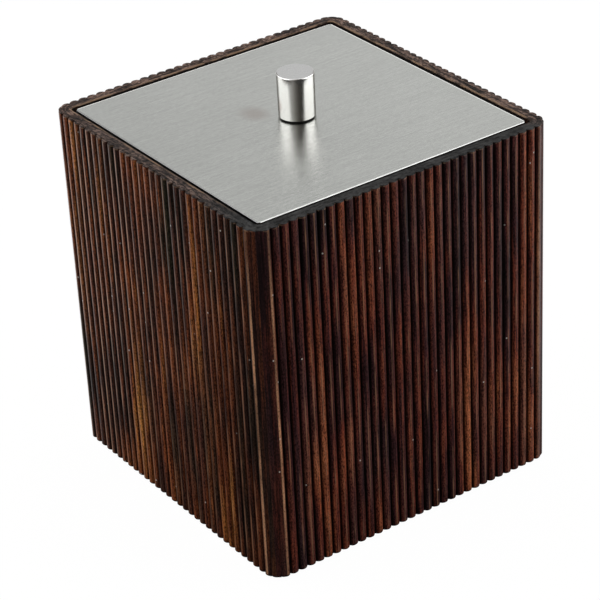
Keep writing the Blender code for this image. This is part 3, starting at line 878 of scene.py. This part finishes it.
def grown_mesh(tree, values):
    """The plain mesh that a tree gives for these inputs."""
    blank = put_in_scene("blank", bpy.data.meshes.new("blank"))
    modifier = blank.modifiers.new("grow", "NODES")
    modifier.node_group = tree
    for item in tree.interface.items_tree:
        if item.item_type == "SOCKET" and item.in_out == "INPUT" and item.name in values:
            modifier[item.identifier] = values[item.name]
    return evaluated_mesh(blank)


def carved(mesh, cutter_mesh):
    """A mesh with another taken away from it."""
    piece = put_in_scene("carved", mesh)
    cutter = put_in_scene("cutter", cutter_mesh)
    cut = piece.modifiers.new("cut", "BOOLEAN")
    cut.operation = "DIFFERENCE"
    cut.solver = "MANIFOLD"
    cut.object = cutter
    result = evaluated_mesh(piece)
    bpy.data.objects.remove(cutter)
    return result


class REEDEDBOX_OT_walls(bpy.types.Operator):
    """Grow the four reeded boards"""

    bl_idname = "reeded_box.walls"
    bl_label = "Reeded Walls"

    def execute(self, context):
        tree = board_tree()
        wood = reeded_wood()
        for quarter, side in enumerate(WALLS):
            mesh = grown_mesh(tree, {"Quarter": quarter, "Wood": wood})
            if not mesh.polygons:
                raise RuntimeError("the board's tree gave no faces")
            finish_piece(side + "_board", mesh, wood, "case", "reeded_wood", side + "_wall")
        return {"FINISHED"}


class REEDEDBOX_OT_keys(bpy.types.Operator):
    """Cut the loose keys that join the mitres"""

    bl_idname = "reeded_box.keys"
    bl_label = "Mitre Keys"

    def execute(self, context):
        wood = bare_wood()
        ease = KEY_THICKNESS / 8
        low, high = KEY_LOW.z, KEY_HIGH.z
        levels = ((ease, low), (0, low + ease), (0, high - ease), (ease, high))
        reach = math.sqrt(2) * CAVITY_HALF + KEY_INSET
        for quarter, corner in enumerate(CORNERS):
            turn = math.pi / 4 + quarter * QUARTER_TURN
            mesh = loft([rectangle(KEY_THICKNESS / 2 - inset, KEY_WIDTH / 2 - inset, height)
                         for inset, height in levels])
            mesh.transform(Matrix.Translation((reach * math.cos(turn), reach * math.sin(turn), 0))
                           @ Matrix.Rotation(turn, 4, "Z"))
            finish_piece("key_" + corner, mesh, wood, "case", "spline_wood", "spline_" + corner)
        return {"FINISHED"}


class REEDEDBOX_OT_base(bpy.types.Operator):
    """Make the base board and its felt pads"""

    bl_idname = "reeded_box.base"
    bl_label = "Base and Pads"

    def execute(self, context):
        sides = turned_edges(BASE_HIGH.x, BASE_LOW.z, BASE_EDGE, BASE_HIGH.z, BASE_EDGE)
        mesh = loft([rounded_square(half, BASE_EDGE * 2, height) for half, height in sides])
        finish_piece("base", mesh, fibreboard(), "case", "base_board", "base_board")

        felt = pressed_felt()
        middle = (PAD_LOW + PAD_HIGH) / 2
        radius = (PAD_HIGH.x - PAD_LOW.x) / 2
        thickness = PAD_HIGH.z - PAD_LOW.z
        for name, side_x, side_y in (("front_left", 1, 1), ("front_right", -1, 1),
                                     ("back_left", 1, -1), ("back_right", -1, -1)):
            rings = [circle(radius - inset * PAD_EDGE_SHARE, rise)
                     for inset, rise in quarter_round(thickness * PAD_SOFTNESS)]
            mesh = loft(rings + [circle(radius, thickness)])
            mesh.transform(Matrix.Translation((middle.x * side_x, middle.y * side_y, 0)))
            finish_piece("pad_" + name, mesh, felt, "case", "felt", "foot_pad_" + name)
        return {"FINISHED"}


def fillet_rings(half, radius, fillet, floor):
    """Rings down a wall that turns in to a floor through a round fillet."""
    return [rounded_square(half - rise, max(radius - rise, LINER_LIP), floor + inset)
            for inset, rise in quarter_round(fillet, 2 * EDGE_STEPS)]


class REEDEDBOX_OT_liner(bpy.types.Operator):
    """Mould the black liner"""

    bl_idname = "reeded_box.liner"
    bl_label = "Liner"

    def execute(self, context):
        top, bottom = LINER_HIGH.z, LINER_LOW.z
        under_flange = top - FLANGE_THICKNESS
        outer_half = CAVITY_HALF - LINER_PLAY
        mouth_half = outer_half - LINER_WALL
        inner_radius = LINER_CORNER_RADIUS - LINER_WALL
        flange_half, flange_radius = LINER_HIGH.x, RIM_CORNER_RADIUS - FLANGE_GAP
        edge = FLANGE_THICKNESS / 5
        rings = fillet_rings(mouth_half - LINER_DRAFT, inner_radius, LINER_FLOOR_FILLET - LINER_WALL,
                             bottom + LINER_WALL)[::-1]
        rings += [rounded_square(mouth_half + rise, inner_radius + rise, top - inset)
                  for inset, rise in quarter_round(LINER_LIP)]
        rings.append(rounded_square(flange_half - 2 * edge, flange_radius, top))
        rings += [rounded_square(flange_half - inset, flange_radius, top - rise)
                  for inset, rise in quarter_round(edge)]
        rings += [rounded_square(flange_half - rise, flange_radius, under_flange + inset)
                  for inset, rise in quarter_round(edge)]
        rings.append(rounded_square(outer_half, LINER_CORNER_RADIUS, under_flange))
        rings += fillet_rings(outer_half - LINER_DRAFT, LINER_CORNER_RADIUS, LINER_FLOOR_FILLET, bottom)
        plastic = moulded_black("liner_plastic", tuple(settings().finish.black), 0.32)
        finish_piece("liner_cup", loft(rings), plastic, "liner", "liner_plastic", "liner")
        return {"FINISHED"}


def pierced_square(half, radius, height):
    """The ring of the screw's hole, point for point inside a square."""
    return hole_in(rounded_square(half, radius, height), SCREW_HOLE_RADIUS, height)


class REEDEDBOX_OT_lid(bpy.types.Operator):
    """Make the steel plate and the insert under it"""

    bl_idname = "reeded_box.lid"
    bl_label = "Lid"

    def execute(self, context):
        half, low, high = PLATE_HIGH.x, PLATE_LOW.z, PLATE_HIGH.z
        shoulder = PLATE_BEVEL - 2 * BEVEL_SOFTNESS
        radius = PLATE_CORNER_RADIUS
        edge = ((PLATE_MARGIN_BELOW, low), (PLATE_CHAMFER, low), (0, low + PLATE_CHAMFER),
                (0, high - PLATE_BEVEL), (BEVEL_SOFTNESS, high - shoulder),
                (shoulder, high - BEVEL_SOFTNESS), (PLATE_BEVEL, high), (PLATE_MARGIN_ABOVE, high))
        rings = [rounded_square(half - inset, radius - inset, height) for inset, height in edge]
        rings = [pierced_square(half, radius, low), *rings, pierced_square(half, radius, high)]
        finish_piece("plate", loft(rings, closed=True), brushed_steel(),
                     "lid", "brushed_steel", "lid_plate")

        half, low, high = INSERT_HIGH.x, INSERT_LOW.z, INSERT_HIGH.z
        radius = LINER_CORNER_RADIUS - LINER_WALL
        rings = [rounded_square(half - inset, radius - inset, low + rise)
                 for inset, rise in quarter_round(INSERT_EDGE)]
        rings = [pierced_square(half, radius, low), *rings, rounded_square(half, radius, high),
                 pierced_square(half, radius, high)]
        board = moulded_black("insert_board", (0.015, 0.014, 0.014), 0.55)
        finish_piece("insert", loft(rings, closed=True), board, "lid", "insert_board", "lid_insert")
        return {"FINISHED"}


def washer_mesh(low, high):
    """A flat washer with rounded edges, between two corners of its box."""
    edge = (high.z - low.z) / 4
    profile = [(SCREW_HOLE_RADIUS, low.z), *turned_edges(high.x, low.z, edge, high.z, edge),
               (SCREW_HOLE_RADIUS, high.z)]
    return loft(turned_rings(profile), closed=True)


def screw_mesh():
    """The pan head screw with its cross recess and thread."""
    low, high = SCREW_LOW.z, SCREW_HIGH.z
    under_head = low + HEAD_HEIGHT
    shank = high - low - HEAD_HEIGHT
    head = [(SCREW_HIGH.x - inset, low + rise)
            for inset, rise in quarter_round(HEAD_ROUND, 2 * EDGE_STEPS)]
    rings = turned_rings(head + [(SCREW_HIGH.x, under_head), (SCREW_DIAMETER / 2, under_head)])
    rows = int(shank / THREAD_PITCH * THREAD_ROWS)
    for row in range(1, rows + 1):
        height = under_head + shank * row / rows
        near_end = min(1.0, (high - height) / SCREW_POINT, (height - low - HEAD_HEIGHT) / THREAD_PITCH)
        taper = max(0.0, 1.0 - (high - height) / SCREW_POINT) * SCREW_POINT * POINT_TAPER
        ring = []
        for step in range(CIRCLE_STEPS):
            phase = (height - low) / THREAD_PITCH - step / CIRCLE_STEPS
            wave = abs((phase % 1.0) * 2 - 1)
            radius = SCREW_DIAMETER / 2 - taper - THREAD_DEPTH * wave * near_end
            turn = 2 * math.pi * step / CIRCLE_STEPS
            ring.append((radius * math.cos(turn), radius * math.sin(turn), height))
        rings.append(ring)

    cross = []
    for quarter in range(4):
        turn = quarter * QUARTER_TURN
        along = Vector((math.cos(turn), math.sin(turn)))
        across = Vector((-along.y, along.x)) * HEAD_RECESS_WIDTH / 2
        tip = along * HEAD_RECESS_LENGTH / 2
        cross += [tip - across, tip + across, along * HEAD_RECESS_WIDTH / 2 + across]
    recess = [[(x * share, y * share, height) for x, y in cross]
              for height, share in ((low - HEAD_RECESS_DEPTH, 1.0), (low, 1.0),
                                    (low + HEAD_RECESS_DEPTH, HEAD_RECESS_TAPER))]
    return carved(loft(rings), loft(recess))


class REEDEDBOX_OT_knob(bpy.types.Operator):
    """Turn the knob and make the screw and washers that hold it"""

    bl_idname = "reeded_box.knob"
    bl_label = "Knob and Screw"

    def execute(self, context):
        radius, low, high = KNOB_HIGH.x, KNOB_LOW.z, KNOB_HIGH.z
        profile = [(SCREW_HOLE_RADIUS, low + SCREW_REACH + SCREW_PLAY), (SCREW_HOLE_RADIUS, low),
                   *turned_edges(radius, low, KNOB_FOOT_EDGE, high, KNOB_EDGE),
                   (radius - 2 * KNOB_EDGE, high)]
        finish_piece("turned_knob", loft(turned_rings(profile)), turned_steel(),
                     "lid", "knob_steel", "knob")

        fibre = moulded_black("washer_fibre", (0.035, 0.034, 0.033), 0.6)
        zinc = zinc_plate()
        finish_piece("fibre_washer", washer_mesh(KNOB_WASHER_LOW, KNOB_WASHER_HIGH), fibre,
                     "lid", "fibre", "knob_washer")
        finish_piece("zinc_washer", washer_mesh(SCREW_WASHER_LOW, SCREW_WASHER_HIGH), zinc,
                     "lid", "zinc_plate", "screw_washer")
        finish_piece("screw", screw_mesh(), zinc, "lid", "zinc_plate", "knob_screw")
        return {"FINISHED"}


# The camera: where it stands, which way it looks, and its roll
CAMERA_PLACE = (-0.35037, -0.50652, 0.40633)
CAMERA_AZIMUTH = math.radians(-34.484)
CAMERA_ELEVATION = math.radians(29.936)
CAMERA_ROLL = math.radians(-3.053)
SENSOR = 36.0
NEAREST_SEEN = 0.05

# The dim room, and what metal mirrors of it: (degrees from the camera's back, tone)
ROOM = (0.03, 0.03, 0.03)
MIRRORED_ROOM = ((-167, 1.0), (-160, 0.30), (-138, 0.30), (-131, 1.0), (-44, 1.0), (-26, 0.62),
                 (-11, 0.33), (2, 0.18), (15, 0.075), (35, 0.035), (50, 0.035), (52.5, 1.0),
                 (122, 1.0), (130, 0.30), (160, 0.30), (167, 1.0))
GREEN_WARMTH, BLUE_WARMTH = 1.04, 1.1

# The floor: its size, how much of its look is plain white, and on which side metal mirrors that
FLOOR_HALF = 1.5
FLOOR_BOTTOM, FLOOR_TOP = -0.01, -0.00002
FLOOR_WHITE = 0.9
FLOOR_GLOW = 1.09
WHITE_SIDE = math.radians(47)
WHITE_FROM, WHITE_TO = -0.035, 0.065

# Softboxes: azimuth and elevation in degrees, width and height
BOX_MIDDLE = Vector((0, 0, 0.06))
LAMP_DISTANCE = 0.85
LAMPS = {"left": (151, 28, 1.20, 0.76), "right": (-38, 28, 1.30, 0.76), "top": (60, 68, 0.60, 0.60)}


def softbox(side, power_in_watts):
    """A rectangular area lamp that looks at the box."""
    azimuth, elevation, width, height = LAMPS[side]
    azimuth, elevation = math.radians(azimuth), math.radians(elevation)
    lamp = bpy.data.lights.new(side + "_softbox", "AREA")
    lamp.shape = "RECTANGLE"
    lamp.size = width
    lamp.size_y = height
    lamp.energy = power_in_watts
    away = Vector((math.cos(azimuth) * math.cos(elevation), math.sin(azimuth) * math.cos(elevation),
                   math.sin(elevation)))
    holder = put_in_scene(side + "_softbox", lamp)
    holder.location = BOX_MIDDLE + away * LAMP_DISTANCE
    holder.rotation_euler = away.to_track_quat("Z", "Y").to_euler()


def looks(nodes):
    """Where something is looked at directly or through glass, and where it is mirrored."""
    path = nodes.add("ShaderNodeLightPath").socket.node
    camera, glossy, through = (Wire(nodes, path.outputs[name])
                               for name in ("Is Camera Ray", "Is Glossy Ray", "Is Transmission Ray"))
    return nodes.clamp(camera + through), glossy


class REEDEDBOX_OT_studio(bpy.types.Operator):
    """Set up the floor, the softboxes, the background and the camera"""

    bl_idname = "reeded_box.studio"
    bl_label = "Studio"

    def execute(self, context):
        scene = context.scene
        studio = settings().studio
        scene.view_settings.view_transform = "Standard"
        self.build_world(scene)
        self.build_floor(studio)
        for side in LAMPS:
            softbox(side, getattr(studio, side + "_lamp"))
        self.build_camera(scene, studio)
        return {"FINISHED"}

    @staticmethod
    def build_world(scene):
        """White where the background is seen, the mirrored room in metal, and dim as a light."""
        world = bpy.data.worlds.new("studio")
        world.use_nodes = True
        scene.world = world
        nodes = Nodes(world.node_tree)
        x, y, _ = nodes.split(nodes.add("ShaderNodeTexCoord", output="Generated"))
        sine, cosine = math.sin(CAMERA_AZIMUTH), math.cos(CAMERA_AZIMUTH)
        turn = nodes.math("ARCTAN2", x * cosine + y * sine, x * sine - y * cosine) / (2 * math.pi) + 0.5
        mirrored = nodes.ramp(turn, [(0.5 + math.radians(degrees) / (2 * math.pi),
                                      (tone, tone ** GREEN_WARMTH, tone ** BLUE_WARMTH))
                                     for degrees, tone in MIRRORED_ROOM])
        direct, glossy = looks(nodes)
        tone = nodes.layers(ROOM, (glossy, mirrored), (direct, WHITE))
        nodes.feed(world.node_tree.nodes["Background"].inputs["Color"], tone)

    @staticmethod
    def build_floor(studio):
        """A pale floor that keeps a faint shadow of the box."""
        mesh = loft([rectangle(FLOOR_HALF, FLOOR_HALF, height) for height in (FLOOR_BOTTOM, FLOOR_TOP)])
        mesh.name = "floor"
        material, nodes, shader = new_material("floor_paper", {
            "Base Color": (*studio.floor, 1.0), "Roughness": 0.9, "Specular IOR Level": 0.1})
        place = nodes.add("ShaderNodeNewGeometry", output="Position")
        back = (math.cos(WHITE_SIDE), math.sin(WHITE_SIDE), 0.0)
        facing = nodes.add("ShaderNodeVectorMath", {0: place, 1: back}, "Value", operation="DOT_PRODUCT")
        behind = nodes.fade(facing, WHITE_FROM, WHITE_TO)
        direct, glossy = looks(nodes)
        tone = nodes.blend(nodes.clamp(direct + glossy * behind), ROOM, WHITE)
        white = nodes.add("ShaderNodeEmission", {"Color": tone, "Strength": FLOOR_GLOW})
        mixed = nodes.add("ShaderNodeMixShader", {"Fac": nodes.clamp(direct * FLOOR_WHITE + glossy),
                                                  1: Wire(nodes, shader.outputs["BSDF"]), 2: white})
        nodes.feed(material.node_tree.nodes["Material Output"].inputs["Surface"], mixed)
        mesh.materials.append(material)
        floor = put_in_scene("floor", mesh)

    @staticmethod
    def build_camera(scene, studio):
        """The camera at the angle of the photograph."""
        camera = bpy.data.cameras.new("camera")
        camera.sensor_width = SENSOR
        camera.lens = studio.lens
        camera.clip_start = NEAREST_SEEN
        holder = put_in_scene("camera", camera)
        holder.location = CAMERA_PLACE
        reach = math.cos(CAMERA_ELEVATION)
        back = Vector((math.sin(CAMERA_AZIMUTH) * reach, -math.cos(CAMERA_AZIMUTH) * reach,
                       math.sin(CAMERA_ELEVATION)))
        level = back.to_track_quat("Z", "Y").to_matrix().to_4x4()
        holder.rotation_euler = (level @ Matrix.Rotation(CAMERA_ROLL, 4, "Z")).to_euler()
        scene.camera = holder


class REEDEDBOX_PT_panel(bpy.types.Panel):
    """The box's settings and its steps, in order"""

    bl_idname = "REEDEDBOX_PT_panel"
    bl_label = "Reeded Box"
    bl_space_type = "VIEW_3D"
    bl_region_type = "UI"
    bl_category = "Reeded Box"

    def draw(self, context):
        box = settings()
        for title, group in (("Boards", box.board), ("Finishes", box.finish), ("Studio", box.studio)):
            group_box = self.layout.box()
            group_box.label(text=title)
            for name in setting_names(group):
                group_box.prop(group, name)
        column = self.layout.column(align=True)
        for step in STEPS:
            column.operator(step.bl_idname)


STEPS = (REEDEDBOX_OT_walls, REEDEDBOX_OT_keys, REEDEDBOX_OT_base, REEDEDBOX_OT_liner,
         REEDEDBOX_OT_lid, REEDEDBOX_OT_knob, REEDEDBOX_OT_studio)
GROUPS = (BoardSettings, FinishSettings, StudioSettings, BoxSettings)
CLASSES = GROUPS + STEPS + (REEDEDBOX_PT_panel,)


def register():
    for item in CLASSES:
        bpy.utils.register_class(item)
    bpy.types.Scene.reeded_box = PointerProperty(type=BoxSettings)


def unregister():
    del bpy.types.Scene.reeded_box
    for item in reversed(CLASSES):
        bpy.utils.unregister_class(item)


def main():
    """Build every piece and the studio."""
    register()
    for step in STEPS:
        group, name = step.bl_idname.split(".")
        getattr(getattr(bpy.ops, group), name)()


if __name__ == "__main__":
    main()
